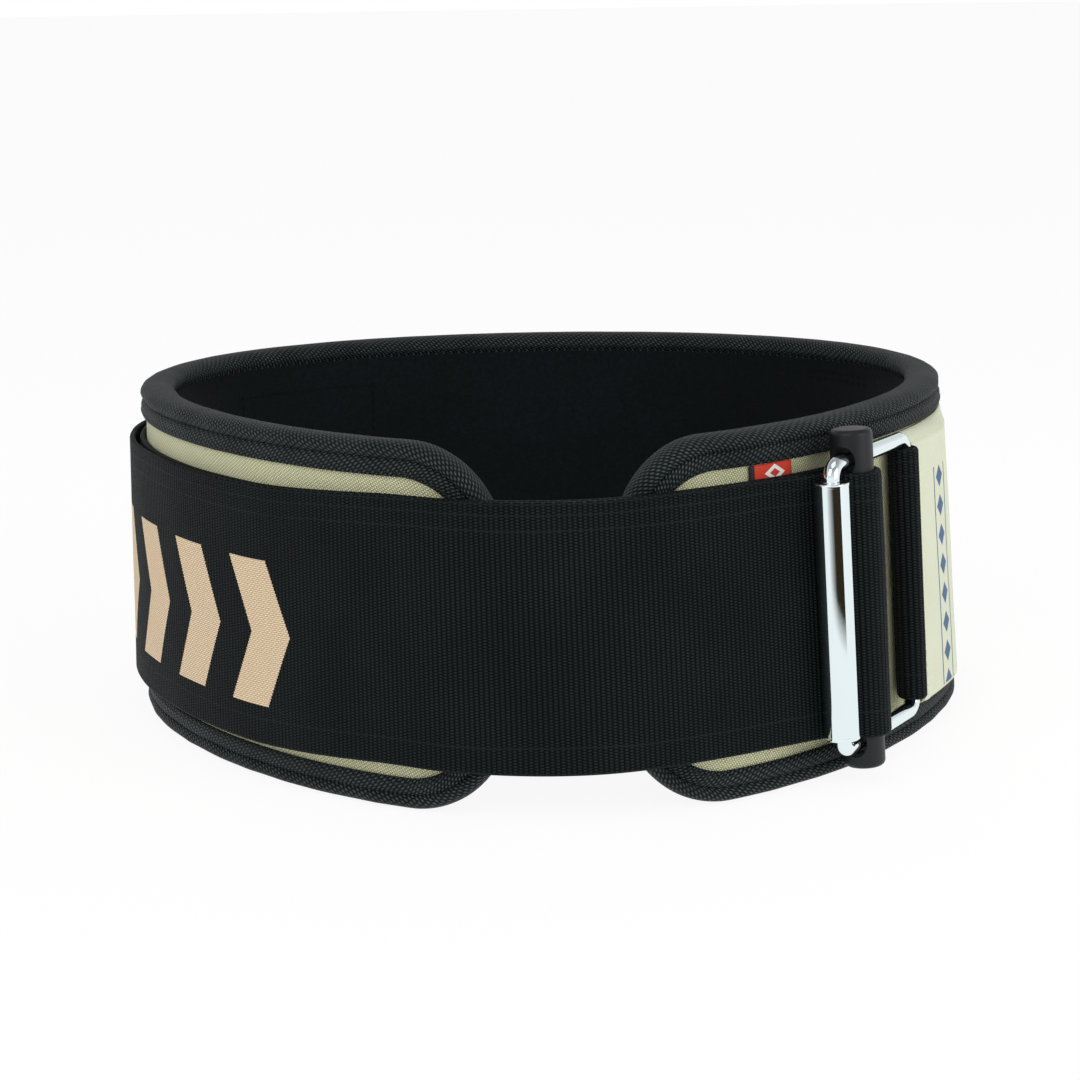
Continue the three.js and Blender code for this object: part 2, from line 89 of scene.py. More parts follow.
def ring_stations(step):
    """Stations round the belt's flat outline: place, height, and the way in from the edge."""
    end_step = math.ceil(END_RADIUS * math.pi / 2 / step)
    start, stop = END_RIGHT + END_RADIUS, LOOP - END_LEFT - END_RADIUS
    turn = np.linspace(0, math.pi / 2, end_step + 1)
    level = BELT_HEIGHT - END_RADIUS
    straight = np.linspace(start, stop, math.ceil((stop - start) / step))[1:-1]
    place = np.concatenate([start - END_RADIUS * np.cos(turn), straight, stop + END_RADIUS * np.sin(turn)])
    height = np.concatenate([level + END_RADIUS * np.sin(turn), np.full(len(straight), BELT_HEIGHT),
                             level + END_RADIUS * np.cos(turn)])
    inward = np.concatenate([np.cos(turn), np.zeros(len(straight)), -np.sin(turn)])
    down = np.concatenate([-np.sin(turn), np.full(len(straight), -1.0), -np.cos(turn)])
    return (np.concatenate([place, place[::-1]]), np.concatenate([height, BELT_HEIGHT - height[::-1]]),
            np.concatenate([inward, inward[::-1]]), np.concatenate([down, -down[::-1]]))


def in_scene(name, data):
    obj = bpy.data.objects.new(name, data)
    bpy.context.scene.collection.objects.link(obj)
    return obj


def cloth_mesh(name, points, faces, uvs):
    """A mesh from points in mm, with a UV map in mm, so that threads keep their real size."""
    mesh = bpy.data.meshes.new(name)
    mesh.from_pydata([tuple(p) for p in np.asarray(points) * MM], [], faces)
    layer = mesh.uv_layers.new(name="cloth_mm")
    layer.data.foreach_set("uv", np.asarray(uvs, np.float32).ravel())
    mesh.shade_smooth()
    shape = bmesh.new()
    shape.from_mesh(mesh)
    bmesh.ops.recalc_face_normals(shape, faces=shape.faces)
    shape.to_mesh(mesh)
    shape.free()
    return in_scene(name, mesh)


def swept_ring(name, section, step, closed, ripple=None):
    """A section of (depth, out) swept round the belt's outline. A closed section makes a ring; an open one is
    closed by upright strips from the top half to the bottom half, on both faces."""
    place, height, inward, down = ring_stations(step)
    section = np.array(section, float)
    n, m = len(place), len(section)
    depth, out = section[None, :, 0], section[None, :, 1]
    at_place = place[:, None] + inward[:, None] * depth
    at_height = height[:, None] + down[:, None] * depth
    if ripple is not None:
        out = out + ripple(at_place, at_height, np.broadcast_to(depth, at_place.shape))
    points = wall(at_place, at_height, out)
    track = np.concatenate([[0], np.cumsum(np.hypot(np.diff(place), np.diff(height)))])
    track = np.append(track, track[-1] + np.hypot(place[-1] - place[0], height[-1] - height[0]))
    girth = np.concatenate([[0], np.cumsum(np.linalg.norm(np.diff(section, axis=0), axis=1))])
    girth = np.append(girth, girth[-1] + np.linalg.norm(section[-1] - section[0]))
    verts, faces, uvs = list(points.reshape(-1, 3)), [], []
    for i in range(n):
        k = (i + 1) % n
        for j in range(m if closed else m - 1):
            q = (j + 1) % m
            faces.append((i * m + j, k * m + j, k * m + q, i * m + q))
            uvs += [(track[i], girth[j]), (track[i + 1], girth[j]),
                    (track[i + 1], girth[j + 1]), (track[i], girth[j + 1])]
    if not closed:
        rows = 14
        half = n // 2
        for side in (0, m - 1):
            grid = np.zeros((half, rows + 1), int)
            grid[:, 0] = np.arange(half) * m + side
            grid[:, rows] = (n - 1 - np.arange(half)) * m + side
            face_out = section[side, 1]
            for r in range(1, rows):
                share = r / rows
                high, low = at_height[:half, side], at_height[n - 1 - np.arange(half), side]
                level = high + (low - high) * share
                spot = wall(at_place[:half, side], level, face_out)
                grid[:, r] = np.arange(half) + len(verts)
                verts += list(spot)
            level = np.linspace(0, 1, rows + 1)
            for i in range(half - 1):
                for r in range(rows):
                    quad = ((i, r), (i + 1, r), (i + 1, r + 1), (i, r + 1))
                    faces.append(tuple(int(grid[a, b]) for a, b in quad))
                    for a, b in quad:
                        top, bottom = at_height[a, side], at_height[n - 1 - a, side]
                        uvs.append((at_place[a, side], top + (bottom - top) * level[b]))
    return cloth_mesh(name, verts, faces, uvs)


def linear(hex_value):
    """An sRGB hex colour as linear RGBA."""
    parts = [int(hex_value[i:i + 2], 16) / 255 for i in (0, 2, 4)]
    return tuple(c / 12.92 if c <= 0.04045 else ((c + 0.055) / 1.055) ** 2.4 for c in parts) + (1.0,)


def node(tree, kind, links=None, **settings):
    """Adds one node. Settings go to its properties, links to its inputs by name or number. A node given as a link
    stands for its first output."""
    made = tree.nodes.new(kind)
    for key, value in settings.items():
        setattr(made, key, value)
    for key, value in (links or {}).items():
        if isinstance(value, bpy.types.Node):
            value = value.outputs[0]
        if isinstance(value, bpy.types.NodeSocket):
            tree.links.new(value, made.inputs[key])
        else:
            made.inputs[key].default_value = value
    return made


def finish_named(name, settings):
    """A new material with its shader set, and the shader's tree."""
    material = bpy.data.materials.new(name)
    material.use_nodes = True
    tree = material.node_tree
    shader = next(n for n in tree.nodes if n.type == "BSDF_PRINCIPLED")
    for key, value in settings.items():
        shader.inputs[key].default_value = value
    return material, tree, shader


def threads(tree, u, v, rib, bead, slant=0.0, hollow=(0.6, 0.45)):
    """Rows of round threads: ribs a given width apart, each broken into beads, with every other rib shifted by
    half a bead. Gives the relief from 0 in the gaps to 1 on the crowns."""
    slid = node(tree, "ShaderNodeMath", {0: v, 1: slant}, operation="MULTIPLY")
    slanted = node(tree, "ShaderNodeMath", {0: u, 1: slid}, operation="ADD")
    across = node(tree, "ShaderNodeMath", {0: slanted, 1: rib}, operation="DIVIDE")
    cell = node(tree, "ShaderNodeMath", {0: across}, operation="FLOOR")
    odd = node(tree, "ShaderNodeMath", {0: cell, 1: 2.0}, operation="MODULO")
    shift = node(tree, "ShaderNodeMath", {0: odd, 1: 0.5}, operation="MULTIPLY")
    beads = node(tree, "ShaderNodeMath", {0: v, 1: bead}, operation="DIVIDE")
    along = node(tree, "ShaderNodeMath", {0: beads, 1: shift}, operation="ADD")
    humps = []
    for way, power in ((across, hollow[0]), (along, hollow[1])):
        angle = node(tree, "ShaderNodeMath", {0: way, 1: math.pi}, operation="MULTIPLY")
        wave = node(tree, "ShaderNodeMath", {0: angle}, operation="SINE")
        hump = node(tree, "ShaderNodeMath", {0: wave}, operation="ABSOLUTE")
        humps.append(node(tree, "ShaderNodeMath", {0: hump, 1: power}, operation="POWER"))
    return node(tree, "ShaderNodeMath", {0: humps[0], 1: humps[1]}, operation="MULTIPLY")


def cloth_uv(tree):
    parts = node(tree, "ShaderNodeSeparateXYZ", {0: node(tree, "ShaderNodeUVMap", uv_map="cloth_mm")})
    return parts.outputs[0], parts.outputs[1]


def cloudy(tree, scale, low, high, detail=4.0):
    """Soft unevenness over the whole piece, from low to high. The scale counts blotches in a metre."""
    coords = node(tree, "ShaderNodeTexCoord")
    noise = node(tree, "ShaderNodeTexNoise", {"Vector": coords.outputs["Object"], "Scale": scale, "Detail": detail})
    return node(tree, "ShaderNodeMapRange", {0: noise, 1: 0.3, 2: 0.7, 3: low, 4: high})


def dye_with_painted_gap_shade(tree, shader, painted_gap_shade, crown, relief, shade):
    """Thread colour with painted shade: dark in the gaps between threads, where shade falls, lighter on the crowns,
    and uneven over the piece.
    """
    # The first colour is painted shade in the gaps between threads; the second is the lit crown of the thread.
    base = node(tree, "ShaderNodeMix", {0: relief, 6: linear(painted_gap_shade), 7: linear(crown)}, data_type="RGBA")
    scaled = node(tree, "ShaderNodeVectorMath", {0: base.outputs[2], "Scale": shade}, operation="SCALE")
    tree.links.new(scaled.outputs[0], shader.inputs["Base Color"])
    return scaled


def relief_bump(tree, shader, relief, depth_mm):
    bump = node(tree, "ShaderNodeBump", {"Height": relief, "Strength": 1.0, "Distance": depth_mm * MM})
    tree.links.new(bump.outputs[0], shader.inputs["Normal"])


# Polyester twill: the ribs run slantwise, 1.4 mm apart, and catch the light along their crowns. Their colour holds
# painted shade: near black in the gaps, lighter on the crowns.
def black_twill():
    material, tree, shader = finish_named("black_polyester_twill", {
        "Roughness": 0.55, "Sheen Weight": 0.02, "Specular IOR Level": 0.08})
    u, v = cloth_uv(tree)
    relief = threads(tree, u, v, 1.4, 1.25, slant=0.75, hollow=(1.8, 1.3))
    dye_with_painted_gap_shade(tree, shader, "010202", "4a5457", relief, cloudy(tree, 60, 0.7, 1.3))
    relief_bump(tree, shader, relief, 0.6)
    return material


ROLL_WIDTH = 4.4
ROLL_CREST = 2.5
ROLL_GROOVE = 1.5
ROLL_LAND = 1.2
PAD_THICKNESS = 10.5
SEAT_OUT = 3.2
SEAT_IN = 8.0


def rolled_rim_section():
    """From the seat under the tape over the outer face's rib, round the edge, and back to the lining's seat."""
    rise = (PAD_THICKNESS - ROLL_LAND) / 2
    turn = np.linspace(0, math.pi / 2, 9)
    curl = [(ROLL_CREST + (ROLL_WIDTH - ROLL_CREST) * math.sin(a), -ROLL_GROOVE * (1 - math.cos(a)))
            for a in turn[:0:-1]]
    rib = [(ROLL_CREST * (1 - math.sin(a)), -rise * (1 - math.cos(a))) for a in turn]
    outer = [(ROLL_WIDTH + 0.8, -SEAT_OUT), (ROLL_WIDTH + 0.2, -2.3)] + curl + rib
    inner = [(depth, -PAD_THICKNESS - out) for depth, out in reversed(curl + rib)]
    return outer + inner + [(ROLL_WIDTH + 0.3, -8.7), (ROLL_WIDTH + 1.4, -SEAT_IN)]


def hand_rolled(place, height, depth):
    """The rib is rolled by hand and sewn, so its fullness changes a little along the edge."""
    wave = 0.16 * np.sin(place / 9.0) + 0.12 * np.sin(place / 3.7 + 1.3) + 0.1 * np.sin(height / 5.0)
    return -np.abs(wave) * (depth < ROLL_WIDTH)


twill = black_twill()
body = swept_ring("padded_body", rolled_rim_section(), 1.6, closed=False, ripple=hand_rolled)
body.data.materials.append(twill)
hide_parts("foam_pad")
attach(body, "belt")


# The outer panel. Beige nylon cloth covers the outer face between the rolled ribs. It is one sheet,
# backed with foam, and its edge disappears under the black tape.
PANEL_OUT = -1.7
PANEL_EDGE = 4.6


def beige_nylon():
    material, tree, shader = finish_named("beige_nylon_canvas", {"Roughness": 0.7, "Sheen Weight": 0.15})
    u, v = cloth_uv(tree)
    relief = threads(tree, u, v, 0.78, 0.78, slant=0.5, hollow=(0.9, 0.7))
    # The darker colour is painted shade in the gaps between threads.
    dye_with_painted_gap_shade(tree, shader, "8c8d62", "f4f4cc", relief, cloudy(tree, 35, 0.94, 1.04))
    relief_bump(tree, shader, relief, 0.22)
    return material


panel = swept_ring("outer_canvas", [(PANEL_EDGE, PANEL_OUT), (PANEL_EDGE, PANEL_OUT - 1.2)], 2.4, closed=False)
panel.data.materials.append(beige_nylon())
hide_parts("outer_panel")
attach(panel, "belt")


# The lining. Brushed black knit covers the inner face, next to the wearer. The ends of the strap and of the buckle's
# loop are sewn right through the belt, and their stitches sit on it.
LINING_OUT = -8.3
LINING_EDGE = 6.1


def brushed_lining():
    material, tree, shader = finish_named("brushed_black_knit", {
        "Roughness": 0.92, "Sheen Weight": 0.03, "Specular IOR Level": 0.1})
    u, v = cloth_uv(tree)
    relief = threads(tree, u, v, 0.9, 0.9, slant=0.2)
    fuzz = cloudy(tree, 900, 0.0, 1.0, detail=6.0)
    woven = node(tree, "ShaderNodeMath", {0: relief, 1: 0.35}, operation="MULTIPLY")
    brushed = node(tree, "ShaderNodeMath", {0: fuzz, 1: 0.65}, operation="MULTIPLY")
    mixed = node(tree, "ShaderNodeMath", {0: woven, 1: brushed}, operation="ADD")
    # The darker colour is painted shade in the gaps between threads.
    dye_with_painted_gap_shade(tree, shader, "030506", "0e1518", mixed, cloudy(tree, 22, 0.8, 1.2))
    relief_bump(tree, shader, mixed, 0.14)
    return material


lining = swept_ring("brushed_lining", [(LINING_EDGE, LINING_OUT), (LINING_EDGE, LINING_OUT - 1.2)], 2.4,
                    closed=False)
lining.data.materials.append(brushed_lining())
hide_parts("inner_lining")
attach(lining, "belt")


# The edge tape. A band of the same twill, 5 mm wide, lies flat inside the rolled rib on the outer face and
# hides the panel's edge. It is eased round the belt's four corners, where it puckers.
TAPE_EDGE = 4.3
TAPE_WIDTH = 4.9
TAPE_TOP = -0.25


def puckers(place, height, depth):
    """Small radial folds where the tape turns a corner."""
    from_end = np.minimum(np.abs(place - END_RIGHT), np.abs(LOOP - END_LEFT - place))
    from_edge = np.minimum(height, BELT_HEIGHT - height)
    in_corner = np.clip(1 - from_end / 34, 0, 1) * np.clip(1 - from_edge / 34, 0, 1)
    around = np.arctan2(END_RADIUS - from_edge, END_RADIUS - from_end)
    fold = np.abs(np.sin(around * 13 + 0.7 * np.sin(around * 5)))
    return -0.75 * in_corner * fold + 0.1 * np.sin(place / 4.1) * np.sin(height / 3.0)


def tape_section():
    low, high = TAPE_EDGE, TAPE_EDGE + TAPE_WIDTH
    across = np.linspace(low, high, 10)
    dip = 1.15 * np.clip(1 - (across - low) / 1.9, 0, 1) ** 2 + 0.35 * np.clip(1 - (high - across) / 0.9, 0, 1) ** 2
    return list(zip(across, TAPE_TOP - dip)) + [(high, TAPE_TOP - 1.4), (low, TAPE_TOP - 1.4)]


tape = swept_ring("rim_tape", tape_section(), 1.1, closed=True, ripple=puckers)
tape.data.materials.append(twill)
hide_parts("edge_tape")
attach(tape, "belt")


# The closing strap. Three inch polyester webbing, 1.8 mm thick, is sewn to the belt's right side, goes
# round the slide bar, back between bar and roller, under the roller, and home over itself, where it grips.
STRAP_WIDTH = 74.6
STRAP_THICK = 1.8
STRAP_MIDDLE = 51.2
ANCHOR = 322
TAIL_END = 254
GAP = 0.3
SEAT_ON_PANEL = -1.4
PITCH = STRAP_THICK + GAP
SIDE_SAG = 2.2
BUCKLE_RISE = 0.9
WIRE = 4.7
FRAME_LENGTH = 48.4
FRAME_GAP = 0.35
BUCKLE_MIDDLE = 52.3
ROLLER = 10.0
BAR = 11.9
BAR_RISE = 0.45
LOOP_LEG = 122.1
LEG_OUT = SEAT_ON_PANEL + STRAP_THICK / 2 + WIRE / 2 + GAP + STRAP_THICK / 2 + 0.55


def smooth(x, start, length):
    s = np.clip((x - start) / length, 0, 1)
    return s * s * (3 - 2 * s)


def strap_out(place):
    return GAP + (SEAT_ON_PANEL - GAP) * smooth(-place, 26, 26) + STRAP_THICK / 2


def strap_slack(place):
    share = (place + 195) / 110
    return np.where(np.abs(share) < 0.5, 1.1 * np.cos(math.pi * share) ** 2, 0.0)


def plan_normal(place):
    return Vector(loop_normals(np.interp([place % LOOP], lengths, angles))[0])


def wall_spot(place, out, level=STRAP_MIDDLE):
    return Vector(wall(place, level, out))


def wall_lean(place):
    return (plan_normal(place) * EDGE_FLARE + Vector((EDGE_TO_RIGHT, EDGE_TO_BACK))) / -BELT_HEIGHT


bar_turn_radius = BAR / 2 + GAP + STRAP_THICK / 2
roller_turn_radius = ROLLER / 2 + GAP + STRAP_THICK / 2
bar_to_roller = bar_turn_radius + roller_turn_radius + 0.2
bar_out = GAP + STRAP_THICK + GAP + BAR / 2
leg_spot = wall_spot(LOOP_LEG, LEG_OUT)
near, far = LOOP_LEG - 2 * FRAME_LENGTH, LOOP_LEG
for _ in range(60):
    bar_place = (near + far) / 2
    if (wall_spot(bar_place, bar_out) - leg_spot).length > FRAME_LENGTH - bar_to_roller:
        near = bar_place
    else:
        far = bar_place
bar_spot = wall_spot(bar_place, bar_out)
along_frame = (leg_spot - bar_spot).normalized()
mean_lean = (wall_lean(bar_place) + wall_lean(LOOP_LEG)) / 2
up_legs = Vector((mean_lean.x, mean_lean.y, 1))
up_legs = (up_legs - along_frame * up_legs.dot(along_frame)).normalized()
buckle_lean = Vector((up_legs.x, up_legs.y)) / up_legs.z
out_of_frame = along_frame.cross(up_legs)
roller_spot = bar_spot - along_frame * bar_to_roller
buckle_place = Matrix((along_frame, up_legs, out_of_frame)).transposed().to_4x4()
buckle_place.translation = roller_spot + up_legs * (BUCKLE_MIDDLE - STRAP_MIDDLE)


def wall_station(place, out, sag=0.0):
    spot = wall_spot(place, out)
    return spot.to_2d(), wall_lean(place), sag


def strap_sag(place):
    """The strap hangs low round the right side and the back, and is drawn up a little at the buckle."""
    return float(SIDE_SAG * smooth(-place, 40, 60) - BUCKLE_RISE * smooth(place, 5, 40))


def turn_stations(centre, radius, start, end, step, sag=0.0):
    count = math.ceil(abs(end - start) * radius / step)
    return [(centre + Vector((math.cos(a), math.sin(a))) * radius, buckle_lean.copy(), sag)
            for a in np.linspace(start, end, count + 1)]


def angle_of(v):
    return math.atan2(v.y, v.x)


STRAP_STEP = 1.5
strap_line = []
steps = round((bar_place + ANCHOR) / STRAP_STEP)
for k in range(steps):
    place = -ANCHOR + (bar_place + ANCHOR) * k / steps
    spot, lean, _ = wall_station(place, float(strap_out(place)))
    share = float(smooth(place, bar_place - FRAME_LENGTH, FRAME_LENGTH))
    strap_line.append((spot, lean.lerp(buckle_lean, share), strap_sag(place)))
foot = angle_of(-plan_normal(bar_place))
crossing = math.acos((bar_turn_radius + roller_turn_radius) / bar_to_roller)
frame_angle = angle_of(along_frame)
bar_turn = (foot - (frame_angle + math.pi + crossing)) % (2 * math.pi)
strap_line += turn_stations(bar_spot.to_2d(), bar_turn_radius, foot, foot - bar_turn, 0.8, -BUCKLE_RISE)
near, far = bar_place - bar_to_roller, bar_place - bar_to_roller - FRAME_LENGTH
for _ in range(60):
    meeting = (near + far) / 2
    spot = wall_spot(meeting, float(strap_out(meeting)) + PITCH).to_2d()
    if (roller_spot.to_2d() - spot).dot(plan_normal(meeting)) > roller_turn_radius:
        near = meeting
    else:
        far = meeting
leaving = angle_of(-plan_normal(meeting))
first = frame_angle + crossing
strap_line += turn_stations(roller_spot.to_2d(), roller_turn_radius, first,
                            first + (leaving - first) % (2 * math.pi), 0.8, -BUCKLE_RISE)
over_start = len(strap_line)
steps = round((meeting + TAIL_END) / STRAP_STEP)
for k in range(steps + 1):
    place = meeting - (meeting + TAIL_END) * k / steps
    out = float(strap_out(place) + PITCH + strap_slack(place))
    strap_line.append(wall_station(place, out, strap_sag(place)))


def band(name, line, thick, low, high, rows, limp=None):
    """A band that stands on edge and follows its line, with rounded selvedges. Its UV runs along it, then up it."""
    spots = np.array([tuple(s) for s, _, _ in line])
    leans = np.array([tuple(lean) for _, lean, _ in line])
    sags = np.array([sag for _, _, sag in line])
    ahead = np.diff(spots, axis=0)
    track = np.concatenate([[0], np.cumsum(np.linalg.norm(ahead, axis=1))])
    ahead /= np.linalg.norm(ahead, axis=1)[:, None]
    tangent = np.concatenate([ahead[:1], ahead[1:] + ahead[:-1], ahead[-1:]])
    tangent /= np.linalg.norm(tangent, axis=1)[:, None]
    side = np.stack([tangent[:, 1], -tangent[:, 0]], -1)
    ring = []
    levels = np.linspace(low, high, rows + 1)
    levels[1], levels[-2] = low + 0.7, high - 0.7
    for k, level in enumerate(levels):
        ring.append((level, -0.5 if 0 < k < rows else -0.28))
    for k, level in reversed(list(enumerate(levels))):
        ring.append((level, 0.5 if 0 < k < rows else 0.28))
    m, n = len(ring), len(line)
    points = np.zeros((n, m, 3))
    for j, (level, sign) in enumerate(ring):
        height = level - sags
        push = sign * thick
        if limp is not None:
            push = push + limp(track, np.full(n, level))
        rise = (height - STRAP_MIDDLE)[:, None]
        points[:, j, :2] = spots + side * np.broadcast_to(push, (n,))[:, None] + leans * rise
        points[:, j, 2] = height
    girth = np.array([level for level, _ in ring])
    faces, uvs = [], []
    for i in range(n - 1):
        for j in range(m):
            q = (j + 1) % m
            faces.append((i * m + j, (i + 1) * m + j, (i + 1) * m + q, i * m + q))
            uvs += [(track[i], girth[j]), (track[i + 1], girth[j]), (track[i + 1], girth[q]), (track[i], girth[q])]
    half = m // 2
    for i in (0, n - 1):
        for j in range(half - 1):
            faces.append((i * m + j, i * m + j + 1, i * m + m - 2 - j, i * m + m - 1 - j))
            uvs += [(track[i], girth[j]), (track[i], girth[j + 1]), (track[i], girth[j + 1]), (track[i], girth[j])]
    return cloth_mesh(name, points.reshape(-1, 3), faces, uvs), track


# Woven polyester: warp ribs run across the strap's face 1.4 mm apart, in beads 0.8 mm long, and the
# pattern is woven in beige thread, so its edges step from rib to rib.
CHEVRON_PITCH = 31
CHEVRON_STROKE = 16
CHEVRON_LEAN = 0.45
CHEVRON_LOW = 24.5
CHEVRON_HIGH = 67.5
CHEVRON_FIRST = -84
CHEVRON_LAST = -230


def ribbed_webbing(name, low, high, chevrons_from=None):
    material, tree, shader = finish_named(name, {"Roughness": 0.6, "Sheen Weight": 0.0, "Specular IOR Level": 0.06})
    u, v = cloth_uv(tree)
    relief = threads(tree, u, v, 1.4, 0.83, hollow=(1.1, 0.8))
    for line_up in (low + 0.4, low + 7.6, high - 7.6, high - 3.4, high - 0.4):
        sway = node(tree, "ShaderNodeMapRange", {0: cloudy(tree, 40, 0.0, 1.0), 3: line_up - 0.35, 4: line_up + 0.35})
        beside = node(tree, "ShaderNodeMath", {0: v, 1: sway}, operation="SUBTRACT")
        off = node(tree, "ShaderNodeMath", {0: beside}, operation="ABSOLUTE")
        fall = node(tree, "ShaderNodeMath", {0: off, 1: 2.0}, operation="MULTIPLY")
        strand = node(tree, "ShaderNodeMath", {0: 0.8, 1: fall}, operation="SUBTRACT")
        relief = node(tree, "ShaderNodeMath", {0: relief, 1: strand}, operation="MAXIMUM")
    # The darker colour is painted shade in the gaps between ribs.
    dark = dye_with_painted_gap_shade(tree, shader, "010202", "22292b", relief, cloudy(tree, 45, 0.85, 1.15))
    if chevrons_from is not None:
        # place runs backwards along the over layer
        place = node(tree, "ShaderNodeMath", {0: chevrons_from, 1: u}, operation="SUBTRACT")
        snapped = node(tree, "ShaderNodeMath", {0: v, 1: 0.9}, operation="SNAP")
        above = node(tree, "ShaderNodeMath", {0: snapped, 1: (CHEVRON_LOW + CHEVRON_HIGH) / 2}, operation="SUBTRACT")
        from_middle = node(tree, "ShaderNodeMath", {0: above}, operation="ABSOLUTE")
        lean = node(tree, "ShaderNodeMath", {0: from_middle, 1: CHEVRON_LEAN}, operation="MULTIPLY")
        slid = node(tree, "ShaderNodeMath", {0: place, 1: lean}, operation="ADD")
        onward = node(tree, "ShaderNodeMath", {0: slid, 1: CHEVRON_FIRST}, operation="SUBTRACT")
        cell = node(tree, "ShaderNodeMath", {0: onward, 1: CHEVRON_PITCH}, operation="FLOORED_MODULO")
        mask = 1.0
        for value, operation, limit in (
                (cell, "GREATER_THAN", CHEVRON_PITCH - CHEVRON_STROKE), (snapped, "GREATER_THAN", CHEVRON_LOW),
                (snapped, "LESS_THAN", CHEVRON_HIGH), (slid, "LESS_THAN", CHEVRON_FIRST + 0.5),
                (slid, "GREATER_THAN", CHEVRON_LAST)):
            mark = node(tree, "ShaderNodeMath", {0: value, 1: limit}, operation=operation)
            mask = node(tree, "ShaderNodeMath", {0: mask, 1: mark}, operation="MULTIPLY")
        fine = threads(tree, v, u, 0.6, 1.5)
        # The beige threads have painted shade: darker in their gaps, lighter on their crowns.
        thread = node(tree, "ShaderNodeMix", {0: fine, 6: linear("d9bf96"), 7: linear("ffe6c6")}, data_type="RGBA")
        both = node(tree, "ShaderNodeMix", {0: mask, 6: dark, 7: thread.outputs[2]}, data_type="RGBA")
        tree.links.new(both.outputs[2], shader.inputs["Base Color"])
        relief = node(tree, "ShaderNodeMix", {0: mask, 2: relief, 3: fine}, data_type="FLOAT")
    relief_bump(tree, shader, relief, 0.45)
    return material


def strap_limp(track, level):
    """Webbing lies almost flat, with faint waves that follow the layer below."""
    return 0.07 * np.sin(track / 13.0 + level / 17.0) + 0.05 * np.sin(track / 5.3 - level / 9.0)


strap_low, strap_high = STRAP_MIDDLE - STRAP_WIDTH / 2, STRAP_MIDDLE + STRAP_WIDTH / 2
strap, strap_track = band("webbing_strap", strap_line, STRAP_THICK, strap_low, strap_high, 26, strap_limp)
strap.data.materials.append(ribbed_webbing("ribbed_polyester_webbing", strap_low, strap_high,
                                           strap_track[over_start] + meeting))
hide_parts("closing_strap")
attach(strap, "belt")


# The frame's loop. A short piece of the same webbing wraps the frame's right leg, and both of its ends are
# sewn down under the pale cover.
LOOP_WIDTH = 73.0
LOOP_DROP = 0.1
LOOP_TAIL = 31
loop_turn_radius = WIRE / 2 + GAP + STRAP_THICK / 2
loop_under = SEAT_ON_PANEL + STRAP_THICK / 2
flat_start = LOOP_LEG + loop_turn_radius * 1.6
tail_places = np.linspace(flat_start, LOOP_LEG + LOOP_TAIL, 18)
outwards = angle_of(plan_normal(LOOP_LEG))
loop_line = [wall_station(p, loop_under) for p in tail_places[::-1]]
loop_line += turn_stations(leg_spot.to_2d(), loop_turn_radius, outwards - math.pi, outwards + math.radians(70), 0.6)
loop_line += [wall_station(p, loop_under + PITCH) for p in tail_places]
loop_low = BUCKLE_MIDDLE - LOOP_DROP - LOOP_WIDTH / 2
loop_high = loop_low + LOOP_WIDTH + 1.0
webbing_loop, _ = band("frame_webbing_loop", loop_line, STRAP_THICK, loop_low, loop_high, 24)
webbing_loop.data.materials.append(ribbed_webbing("ribbed_loop_webbing", loop_low, loop_high))
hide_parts("frame_loop")
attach(webbing_loop, "belt")


# The pale cover. A panel of smooth printed polyester hides the loop's sewn ends and runs round to the
# back. Its front edge is folded under, and a narrow navy column is printed beside the fold.
COVER_THICK = 1.0
COVER_START = LOOP_LEG + 6.3
COVER_LENGTH = 146
COVER_LOW = 9.8
COVER_RAMP = 36
PRINT_PLACE = 150.5
PRINT_PITCH = 9.0
PRINT_LOW = 13.0
PRINT_HIGH = 80.0


def cover_out(place):
    ramp_start = LOOP_LEG + LOOP_TAIL + GAP
    over_loop = SEAT_ON_PANEL + 2 * PITCH + COVER_THICK / 2
    return over_loop + (SEAT_ON_PANEL + COVER_THICK / 2 - over_loop) * smooth(place, ramp_start, COVER_RAMP)


